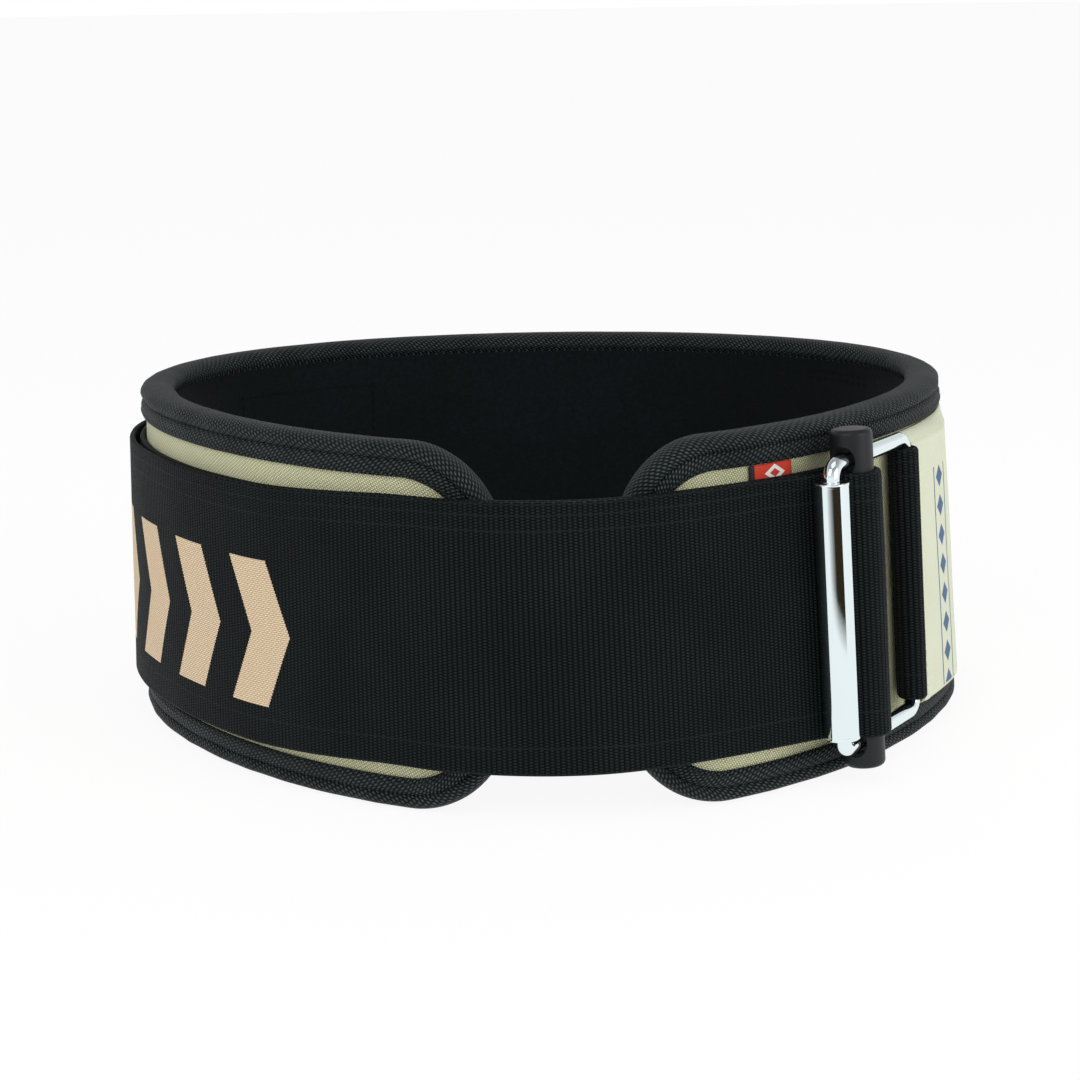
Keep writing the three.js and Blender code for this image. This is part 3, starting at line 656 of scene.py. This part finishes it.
def printed_polyester():
    material, tree, shader = finish_named("printed_pale_polyester", {"Roughness": 0.6, "Sheen Weight": 0.1})
    u, v = cloth_uv(tree)
    relief = threads(tree, u, v, 0.7, 0.7)
    # The darker colour is painted shade in the gaps between threads.
    cloth = dye_with_painted_gap_shade(tree, shader, "c2c6aa", "e8ecd2", relief, cloudy(tree, 30, 0.97, 1.02))
    beside = node(tree, "ShaderNodeMath", {0: u, 1: PRINT_PLACE - COVER_START}, operation="SUBTRACT")
    across = node(tree, "ShaderNodeMath", {0: beside}, operation="ABSOLUTE")
    cell = node(tree, "ShaderNodeMath", {0: v, 1: PRINT_PITCH}, operation="FLOORED_MODULO")
    middle = node(tree, "ShaderNodeMath", {0: cell, 1: PRINT_PITCH / 2}, operation="SUBTRACT")
    up = node(tree, "ShaderNodeMath", {0: middle}, operation="ABSOLUTE")
    wide = node(tree, "ShaderNodeMath", {0: across, 1: 3.2}, operation="DIVIDE")
    tall = node(tree, "ShaderNodeMath", {0: up, 1: 3.4}, operation="DIVIDE")
    diamond = node(tree, "ShaderNodeMath", {0: wide, 1: tall}, operation="ADD")
    inside = node(tree, "ShaderNodeMath", {0: diamond, 1: 1.0}, operation="LESS_THAN")
    past = node(tree, "ShaderNodeMath", {0: across, 1: 4.6}, operation="GREATER_THAN")
    short = node(tree, "ShaderNodeMath", {0: across, 1: 5.4}, operation="LESS_THAN")
    line = node(tree, "ShaderNodeMath", {0: past, 1: short}, operation="MULTIPLY")
    ink = node(tree, "ShaderNodeMath", {0: inside, 1: line}, operation="MAXIMUM")
    for limit, operation in ((PRINT_LOW, "GREATER_THAN"), (PRINT_HIGH, "LESS_THAN")):
        within = node(tree, "ShaderNodeMath", {0: v, 1: limit}, operation=operation)
        ink = node(tree, "ShaderNodeMath", {0: ink, 1: within}, operation="MULTIPLY")
    both = node(tree, "ShaderNodeMix", {0: ink, 6: cloth, 7: linear("2b5782")}, data_type="RGBA")
    tree.links.new(both.outputs[2], shader.inputs["Base Color"])
    relief_bump(tree, shader, relief, 0.12)
    return material


def cover_limp(track, level):
    """The folded front edge is thicker, and the upper and lower edges are drawn down and sewn to the panel."""
    fold = 0.35 * np.exp(-((track - 2.2) / 2.0) ** 2)
    from_edge = np.minimum(level - COVER_LOW, BELT_HEIGHT - COVER_LOW - level)
    lift = cover_out(COVER_START + track) - SEAT_ON_PANEL - COVER_THICK / 2
    inside = smooth(from_edge, 0, 2.6)
    return fold * inside - lift * (1 - inside) + 0.06 * np.sin(track / 6.0 + level / 8.0)


cover_line = [wall_station(p, float(cover_out(p))) for p in np.linspace(COVER_START, COVER_START + COVER_LENGTH, 98)]
cover, _ = band("pale_cover", cover_line, COVER_THICK, COVER_LOW, BELT_HEIGHT - COVER_LOW, 64, cover_limp)
cover.data.materials.append(printed_polyester())
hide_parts("printed_cover")
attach(cover, "belt")


# The side tag. A woven red tag, 15 mm long, is tucked under the tape and under the strap's upper edge.
TAG_START = 59
TAG_WIDTH = 15.5
TAG_LOW = 86.9
TAG_HIGH = 92.9


def woven_tag():
    material, tree, shader = finish_named("woven_red_tag", {"Roughness": 0.65})
    u, v = cloth_uv(tree)
    relief = threads(tree, u, v, 0.5, 0.5)
    # The darker red is painted shade in the gaps between threads.
    red = dye_with_painted_gap_shade(tree, shader, "9c1f0a", "e8401a", relief, cloudy(tree, 60, 0.95, 1.05))
    whole = 0.0
    for way, middle, reach in ((u, 9.0, 3.8), (v, 90.2, 2.4)):
        beside = node(tree, "ShaderNodeMath", {0: way, 1: middle}, operation="SUBTRACT")
        off = node(tree, "ShaderNodeMath", {0: beside}, operation="ABSOLUTE")
        share = node(tree, "ShaderNodeMath", {0: off, 1: reach}, operation="DIVIDE")
        whole = node(tree, "ShaderNodeMath", {0: whole, 1: share}, operation="ADD")
    within = node(tree, "ShaderNodeMath", {0: whole, 1: 1.0}, operation="LESS_THAN")
    hollow = node(tree, "ShaderNodeMath", {0: whole, 1: 0.5}, operation="GREATER_THAN")
    white = node(tree, "ShaderNodeMath", {0: within, 1: hollow}, operation="MULTIPLY")
    first = node(tree, "ShaderNodeMix", {0: white, 6: red, 7: linear("f2efe8")}, data_type="RGBA")
    edge = node(tree, "ShaderNodeMath", {0: u, 1: 1.6}, operation="LESS_THAN")
    end = node(tree, "ShaderNodeMix", {0: edge, 6: first.outputs[2], 7: linear("16181a")}, data_type="RGBA")
    tree.links.new(end.outputs[2], shader.inputs["Base Color"])
    relief_bump(tree, shader, relief, 0.1)
    return material


tag_line = [wall_station(p, SEAT_ON_PANEL + 0.3) for p in np.linspace(TAG_START, TAG_START + TAG_WIDTH, 14)]
tag, _ = band("red_side_tag", tag_line, 0.6, TAG_LOW, TAG_HIGH, 6)
tag.data.materials.append(woven_tag())
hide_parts("side_tag")
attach(tag, "belt")


# The buckle frame. One 4.7 mm steel wire is bent to a rectangle, butt welded behind the loop, and
# chromium plated, so that its bends are round and it mirrors its surroundings.
def chrome_plate():
    material, tree, shader = finish_named("bright_chrome_plate", {"Base Color": linear("e6f1f3"), "Metallic": 1.0})
    coords = node(tree, "ShaderNodeTexCoord")
    grain = node(tree, "ShaderNodeTexNoise", {"Vector": coords.outputs["Object"], "Scale": 700.0, "Detail": 3.0})
    rough = node(tree, "ShaderNodeMapRange", {0: grain, 1: 0.3, 2: 0.8, 3: 0.03, 4: 0.055})
    tree.links.new(rough.outputs[0], shader.inputs["Roughness"])
    relief_bump(tree, shader, grain, 0.0012)
    return material


chrome = chrome_plate()


def bake_modifiers(obj):
    bpy.context.view_layer.update()
    plain = bpy.data.meshes.new_from_object(obj.evaluated_get(bpy.context.evaluated_depsgraph_get()))
    obj.modifiers.clear()
    obj.data = plain


def ring_faces(shape, rings):
    """Quads between each ring of vertices and the next."""
    for ring, after in zip(rings, rings[1:]):
        for j in range(len(ring)):
            k = (j + 1) % len(ring)
            shape.faces.new((ring[j], after[j], after[k], ring[k]))


def placed_mesh(name, shape, place):
    """Puts a bmesh made in mm in the buckle's own axes where the buckle is, in metres."""
    bmesh.ops.transform(shape, matrix=Matrix.Scale(MM, 4) @ place, verts=shape.verts)
    bmesh.ops.remove_doubles(shape, verts=shape.verts, dist=1e-7)
    bmesh.ops.recalc_face_normals(shape, faces=shape.faces)
    mesh = bpy.data.meshes.new(name)
    shape.to_mesh(mesh)
    shape.free()
    mesh.shade_smooth()
    return in_scene(name, mesh)


WIRE_BEND = 4.0
wire_height = (STRAP_WIDTH + WIRE) / 2 + FRAME_GAP


def wire_rectangle():
    bend = WIRE_BEND
    corners = ((FRAME_LENGTH - bend, wire_height - bend, 0), (bend, wire_height - bend, 90),
               (bend, bend - wire_height, 180), (FRAME_LENGTH - bend, bend - wire_height, 270))
    line = []
    for x, y, start in corners:
        for k in range(13):
            a = math.radians(start + 90 * k / 12)
            line.append((Vector((x, y, 0)), Vector((math.cos(a), math.sin(a), 0)), bend))
    shape = bmesh.new()
    rings = []
    for centre, across, radius in line:
        middle = centre + across * radius
        rings.append([shape.verts.new(middle + across * (WIRE / 2 * math.cos(b))
                                      + Vector((0, 0, WIRE / 2 * math.sin(b))))
                      for b in np.linspace(0, 2 * math.pi, 33)[:-1]])
    ring_faces(shape, rings + rings[:1])
    return shape


wire = placed_mesh("chromed_wire_frame", wire_rectangle(), buckle_place)
wire.data.materials.append(chrome)
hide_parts("buckle_frame")
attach(wire, "belt")


# The roller. A chromed steel tube, 10 mm across, turns on the frame's left leg, and the strap runs under
# it. Its ends are rolled over to a small lip.
ROLLER_LENGTH = 72.3
ROLLER_SAG = 0.35


def turned(outline, sides):
    """A round solid or tube from its half outline of (radius, height)."""
    shape = bmesh.new()
    rings = []
    for radius, height in outline:
        rings.append([shape.verts.new((radius * math.cos(a), height, radius * math.sin(a)))
                      for a in np.linspace(0, 2 * math.pi, sides + 1)[:-1]])
    ring_faces(shape, rings)
    return shape


half, bore, face = ROLLER_LENGTH / 2, WIRE / 2 + GAP, ROLLER / 2 - 0.12
lip = [(bore, -half + 0.2), (bore + 0.3, -half), (ROLLER / 2 - 0.35, -half), (ROLLER / 2 - 0.08, -half + 0.12),
       (ROLLER / 2, -half + 0.4), (face, -half + 1.1), (face, -half + 1.5)]
tube = lip + [(radius, -height) for radius, height in reversed(lip)] + lip[:1]
roller = placed_mesh("chromed_roller", turned(tube, 96), buckle_place @ Matrix.Translation((0, -ROLLER_SAG, 0)))
roller.data.materials.append(chrome)
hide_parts("roller")
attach(roller, "roller")


# The slide bar. A moulded black nylon rod has domed ends, and a cross hole near each end lets it slide
# along the frame's two wires, where it pinches the strap against the roller.
BAR_LENGTH = 96.2
BAR_DOME = 1.6
HOLE = 3.25
HOLE_MOUTH = 4.1


def satin_nylon():
    material, tree, shader = finish_named("moulded_black_nylon", {"Roughness": 0.45, "Specular IOR Level": 0.3})
    coords = node(tree, "ShaderNodeTexCoord")
    grain = node(tree, "ShaderNodeTexNoise", {"Vector": coords.outputs["Object"], "Scale": 1800.0, "Detail": 4.0})
    tint = node(tree, "ShaderNodeMix", {0: grain, 6: linear("0b0d0f"), 7: linear("171b1e")}, data_type="RGBA")
    tree.links.new(tint.outputs[2], shader.inputs["Base Color"])
    relief_bump(tree, shader, grain, 0.03)
    return material


def slide_rod():
    half, radius, dome = BAR_LENGTH / 2, BAR / 2, BAR_DOME
    outline = [(0.0, -half)]
    for k in range(9):
        a = k * math.pi / 16
        outline.append((radius - dome + dome * math.sin(a), -half + dome * (1 - math.cos(a))))
    outline += [(r, -y) for r, y in reversed(outline)]
    return turned(outline, 96)


bar_matrix = buckle_place @ Matrix.Translation((bar_to_roller, BAR_RISE, 0))
bar = placed_mesh("black_slide_bar", slide_rod(), bar_matrix)
for height in (-wire_height, wire_height):
    drill = turned([(0.0, -BAR), (HOLE_MOUTH, -BAR), (HOLE_MOUTH, -BAR / 2 + 0.25), (HOLE, -BAR / 2 + 1.1),
                    (HOLE, BAR / 2 - 1.1), (HOLE_MOUTH, BAR / 2 - 0.25), (HOLE_MOUTH, BAR), (0.0, BAR)], 48)
    turn = Matrix.Rotation(math.pi / 2, 4, "Z")
    cutter = placed_mesh("drill", drill, bar_matrix @ Matrix.Translation((0, height - BAR_RISE, 0)) @ turn)
    cut = bar.modifiers.new("cross_hole", "BOOLEAN")
    cut.operation, cut.object, cut.solver = "DIFFERENCE", cutter, "EXACT"
    bake_modifiers(bar)
    bpy.data.objects.remove(cutter)
bar.data.materials.clear()
bar.data.materials.append(satin_nylon())
bar.data.shade_smooth()
bar.data.set_sharp_from_angle(angle=math.radians(35))
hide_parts("slide_bar")
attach(bar, "belt")


# The stitches. Bonded polyester thread holds the tape, the cover's fold and the strap's sewn end, in
# rows of lock stitches 3 mm long that sink a little into the cloth.
def stitch_tree():
    tree = bpy.data.node_groups.new("lock_stitches", "GeometryNodeTree")
    face = tree.interface
    face.new_socket("Line", in_out="INPUT", socket_type="NodeSocketGeometry")
    for label, value in (("Pitch", 3.0 * MM), ("Stitch length", 2.3 * MM), ("Thread radius", 0.3 * MM)):
        face.new_socket(label, in_out="INPUT", socket_type="NodeSocketFloat").default_value = value
    face.new_socket("Thread", in_out="INPUT", socket_type="NodeSocketMaterial")
    face.new_socket("Stitches", in_out="OUTPUT", socket_type="NodeSocketGeometry")
    given = node(tree, "NodeGroupInput")
    line = node(tree, "GeometryNodeMeshToCurve", {0: given.outputs["Line"]})
    spots = node(tree, "GeometryNodeCurveToPoints", {"Curve": line.outputs[0], "Length": given.outputs["Pitch"]},
                 mode="LENGTH")
    ball = node(tree, "GeometryNodeMeshUVSphere", {"Segments": 6, "Rings": 5, "Radius": 1.0})
    length = node(tree, "ShaderNodeMath", {0: given.outputs["Stitch length"], 1: 2.0}, operation="DIVIDE")
    size = node(tree, "ShaderNodeCombineXYZ", {0: given.outputs["Thread radius"], 1: given.outputs["Thread radius"],
                                               2: length})
    many = node(tree, "GeometryNodeInstanceOnPoints", {"Points": spots.outputs[0], "Instance": ball.outputs[0],
                                                      "Rotation": spots.outputs["Rotation"], "Scale": size.outputs[0]})
    real = node(tree, "GeometryNodeRealizeInstances", {0: many.outputs[0]})
    smooth_faces = node(tree, "GeometryNodeSetShadeSmooth", {0: real.outputs[0]})
    thread = node(tree, "GeometryNodeSetMaterial", {0: smooth_faces.outputs[0], "Material": given.outputs["Thread"]})
    node(tree, "NodeGroupOutput", {0: thread.outputs[0]})
    return tree


def thread_finish(name, hex_value, shine):
    material, tree, shader = finish_named(name, {"Roughness": 0.5, "Specular IOR Level": shine})
    coords = node(tree, "ShaderNodeTexCoord")
    twist = node(tree, "ShaderNodeTexNoise", {"Vector": coords.outputs["Object"], "Scale": 2500.0})
    shade = node(tree, "ShaderNodeMapRange", {0: twist, 1: 0.3, 2: 0.7, 3: 0.7, 4: 1.2})
    colour = node(tree, "ShaderNodeVectorMath", {0: linear(hex_value)[:3], "Scale": shade}, operation="SCALE")
    tree.links.new(colour.outputs[0], shader.inputs["Base Color"])
    relief_bump(tree, shader, twist, 0.05)
    return material


stitches = stitch_tree()


def sewn_rows(name, rows, thread, pitch, stitch, radius):
    """Stitches along rows of points in mm."""
    points, edges = [], []
    for row in rows:
        start = len(points)
        points += [tuple(p) for p in np.asarray(row) * MM]
        edges += [(k, k + 1) for k in range(start, len(points) - 1)]
    mesh = bpy.data.meshes.new(name)
    mesh.from_pydata(points, edges, [])
    obj = in_scene(name, mesh)
    sewing = obj.modifiers.new("sewing", "NODES")
    sewing.node_group = stitches
    given = {"Pitch": pitch * MM, "Stitch length": stitch * MM, "Thread radius": radius * MM, "Thread": thread}
    for item in stitches.interface.items_tree:
        if item.item_type == "SOCKET" and item.in_out == "INPUT" and item.name in given:
            sewing[item.identifier] = given[item.name]
    bake_modifiers(obj)
    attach(obj, "belt")


def outline_row(depth, out):
    place, height, inward, down = ring_stations(2.0)
    row = wall(place + inward * depth, height + down * depth, out)
    return np.concatenate([row, row[:1]])


def upright_row(place, low, high, out):
    return wall(place, np.linspace(low, high, 12), out)


def level_row(start, stop, height, out):
    return wall(np.linspace(start, stop, 40), height, out)


black_thread = thread_finish("black_bonded_thread", "1a1f21", 0.2)
inner_thread = thread_finish("matt_black_thread", "0b0e10", 0.06)
pale_thread = thread_finish("pale_bonded_thread", "e4e4cc", 0.3)
tape_row = outline_row(TAPE_EDGE + TAPE_WIDTH - 1.3, TAPE_TOP - 0.02)
sewn_rows("tape_stitches", [tape_row], black_thread, 2.8, 2.2, 0.28)
inside = LINING_OUT - 1.25
start, end, low, high = -318, -262, 13, 87
box_rows = [upright_row(start, low, high, inside), upright_row(end, low, high, inside),
            level_row(start, end, low, inside), level_row(start, end, high, inside)]
sewn_rows("strap_end_stitches", box_rows, inner_thread, 3.0, 2.4, 0.25)
patch_rows = [upright_row(COVER_START + 1.5, 17, 85, inside), upright_row(LOOP_LEG + LOOP_TAIL - 3, 17, 85, inside),
              level_row(245, 273, 90, inside), level_row(245, 273, 92.6, inside)]
sewn_rows("inner_patch_stitches", patch_rows, inner_thread, 3.0, 2.4, 0.25)
sewn_levels = np.linspace(COVER_LOW + 4, BELT_HEIGHT - COVER_LOW - 4, 40)
front_seam = COVER_START + 2.6
cover_rows = [wall(front_seam, sewn_levels, float(cover_out(front_seam)) + COVER_THICK / 2 + 0.3),
              wall(COVER_START + COVER_LENGTH - 3, sewn_levels, SEAT_ON_PANEL + COVER_THICK + 0.02)]
sewn_rows("cover_stitches", cover_rows, pale_thread, 3.0, 2.4, 0.26)


# The photographer's table, light and camera. The belt stands on a white sheet under a large soft light,
# and the camera is a short way off with a long lens, a little above the belt's upper edge.
PAPER_TINT = (0.12, 0.12, 0.12)
PAPER_GLOW = 0.9
# Where the dark card that paints a reflection into the roller fades out.
PAINTED_STREAK_NEAR = 0.215
PAINTED_STREAK_FULL = 0.3
PAINTED_STREAK_LEFT = -0.9
ROLLER_ON_PAPER = (0.079, -0.094, 0)
CAMERA_LEFT = 10.12
CAMERA_BACK = 758.6
CAMERA_HEIGHT = 222.3
LOOK_RIGHT = 8.40
LOOK_HEIGHT = 51.99
CAMERA_ROLL = -0.881
PHOTO_PIXELS = 1080
FOCAL_PIXELS = 2491.4


def plain_floor():
    material, tree, shader = finish_named("white_paper", {
        "Roughness": 0.9, "Specular IOR Level": 0.0, "Emission Color": (1, 1, 1, 1), "Emission Strength": PAPER_GLOW})
    grain = cloudy(tree, 3, 0.99, 1.0)
    tint = node(tree, "ShaderNodeVectorMath", {0: PAPER_TINT, "Scale": grain}, operation="SCALE")
    tree.links.new(tint.outputs[0], shader.inputs["Base Color"])
    return material


floor_mesh = bpy.data.meshes.new("floor")
floor_mesh.from_pydata([(-30, -30, 0), (30, -30, 0), (30, 30, 0), (-30, 30, 0)], [], [(0, 1, 2, 3)])
floor_mesh.materials.append(plain_floor())
floor = in_scene("floor", floor_mesh)

world = bpy.data.worlds.new("studio")
bpy.context.scene.world = world
world.use_nodes = True
sky = next(n for n in world.node_tree.nodes if n.type == "BACKGROUND")
sky.inputs[0].default_value = (1, 1, 1, 1)
# The white walls are brighter than the ceiling.
sky_way = node(world.node_tree, "ShaderNodeTexCoord")
sky_parts = node(world.node_tree, "ShaderNodeSeparateXYZ", {0: sky_way.outputs["Generated"]})
sky_up = node(world.node_tree, "ShaderNodeMapRange", {0: sky_parts.outputs["Z"], 1: 0.15, 2: 0.8, 3: 1.0, 4: 0.35})
world.node_tree.links.new(sky_up.outputs[0], sky.inputs[1])


def soft_light(name, spot, aim, size, power):
    data = bpy.data.lights.new(name, "AREA")
    data.shape, data.size, data.energy = "SQUARE", size, power
    lamp = in_scene(name, data)
    lamp.location = spot
    lamp.rotation_euler = (Vector(aim) - Vector(spot)).to_track_quat("-Z", "Y").to_euler()


# A painted reflection: a dark brown card lies on the floor in front of the belt, hidden from the camera, from diffuse
# light and from shadows, so that only polished metal mirrors it and the roller shows a dark streak. It fades to the
# white paper's colour and glow towards the belt and towards the left.
card_mesh = bpy.data.meshes.new("painted_reflection_card")
card_mesh.from_pydata([(-1.2, -0.19, 0.001), (0.185, -0.19, 0.001), (0.966, -0.9, 0.001), (-1.2, -0.9, 0.001)], [],
                      [(0, 1, 2, 3)])
card_finish, card_tree, card_shader = finish_named("painted_reflection_card", {
    "Emission Color": (1, 1, 1, 1), "Roughness": 1.0, "Specular IOR Level": 0.0})
card_spot = node(card_tree, "ShaderNodeTexCoord")
from_roller = node(card_tree, "ShaderNodeVectorMath", {0: card_spot.outputs["Object"], 1: ROLLER_ON_PAPER},
                   operation="SUBTRACT")
reach = node(card_tree, "ShaderNodeVectorMath", {0: from_roller.outputs[0]}, operation="LENGTH")
parts = node(card_tree, "ShaderNodeSeparateXYZ", {0: from_roller.outputs[0]})
ahead = node(card_tree, "ShaderNodeMath", {0: parts.outputs[1], 1: -1.0}, operation="MULTIPLY")
sideways = node(card_tree, "ShaderNodeMath", {0: parts.outputs[0], 1: ahead}, operation="DIVIDE")
near_fade = node(card_tree, "ShaderNodeMapRange", {0: reach.outputs["Value"], 1: PAINTED_STREAK_NEAR, 2: PAINTED_STREAK_FULL,
                                                   3: 0.0, 4: 1.0})
left_fade = node(card_tree, "ShaderNodeMapRange", {0: sideways, 1: PAINTED_STREAK_LEFT, 2: 0.0, 3: 0.0, 4: 1.0})
painted_streak = node(card_tree, "ShaderNodeMath", {0: near_fade, 1: left_fade}, operation="MULTIPLY")
card_tint = node(card_tree, "ShaderNodeMix", {0: painted_streak, 6: PAPER_TINT + (1,), 7: linear("30291c")},
                 data_type="RGBA")
card_tree.links.new(card_tint.outputs[2], card_shader.inputs["Base Color"])
sheet = node(card_tree, "ShaderNodeMath", {0: 1.0, 1: painted_streak}, operation="SUBTRACT")
glow = node(card_tree, "ShaderNodeMath", {0: sheet, 1: PAPER_GLOW}, operation="MULTIPLY")
card_tree.links.new(glow.outputs[0], card_shader.inputs["Emission Strength"])
card_mesh.materials.append(card_finish)
card = in_scene("painted_reflection_card", card_mesh)
# Only glossy rays see this card, so it is a painted reflection in the chrome and not part of the stage.
card.visible_camera = card.visible_diffuse = card.visible_shadow = False
soft_light("key_light", (-0.7, -1.0, 1.1), (0, 0, 0.05), 0.8, 5.5)
soft_light("right_light", (1.0, -0.75, 0.5), (0.09, -0.07, 0.05), 0.6, 4.5)
soft_light("top_light", (0.1, -0.3, 1.4), (0, 0, 0.05), 0.9, 2)

# The camera's place and its focal length in pixels were fitted to points of the belt's edges.
eye = Vector((-CAMERA_LEFT, 0.962 - CAMERA_BACK, CAMERA_HEIGHT)) * MM
aim = Vector((-CAMERA_LEFT + LOOK_RIGHT, 0.962, LOOK_HEIGHT)) * MM
roll = math.radians(CAMERA_ROLL)
ahead = (aim - eye).normalized()
right = ahead.cross(Vector((0, 0, 1))).normalized()
above = right.cross(ahead)
turned_right = right * math.cos(roll) + above * math.sin(roll)
turned_up = above * math.cos(roll) - right * math.sin(roll)
lens = bpy.data.cameras.new("camera")
lens.sensor_fit, lens.sensor_width, lens.lens = "HORIZONTAL", 36, FOCAL_PIXELS * 36 / PHOTO_PIXELS
lens.clip_start, lens.clip_end = 0.01, 20
camera = in_scene("camera", lens)
place = Matrix((turned_right, turned_up, -ahead)).transposed().to_4x4()
place.translation = eye
camera.matrix_world = place
bpy.context.scene.camera = camera
bpy.context.scene.view_settings.view_transform = "Standard"
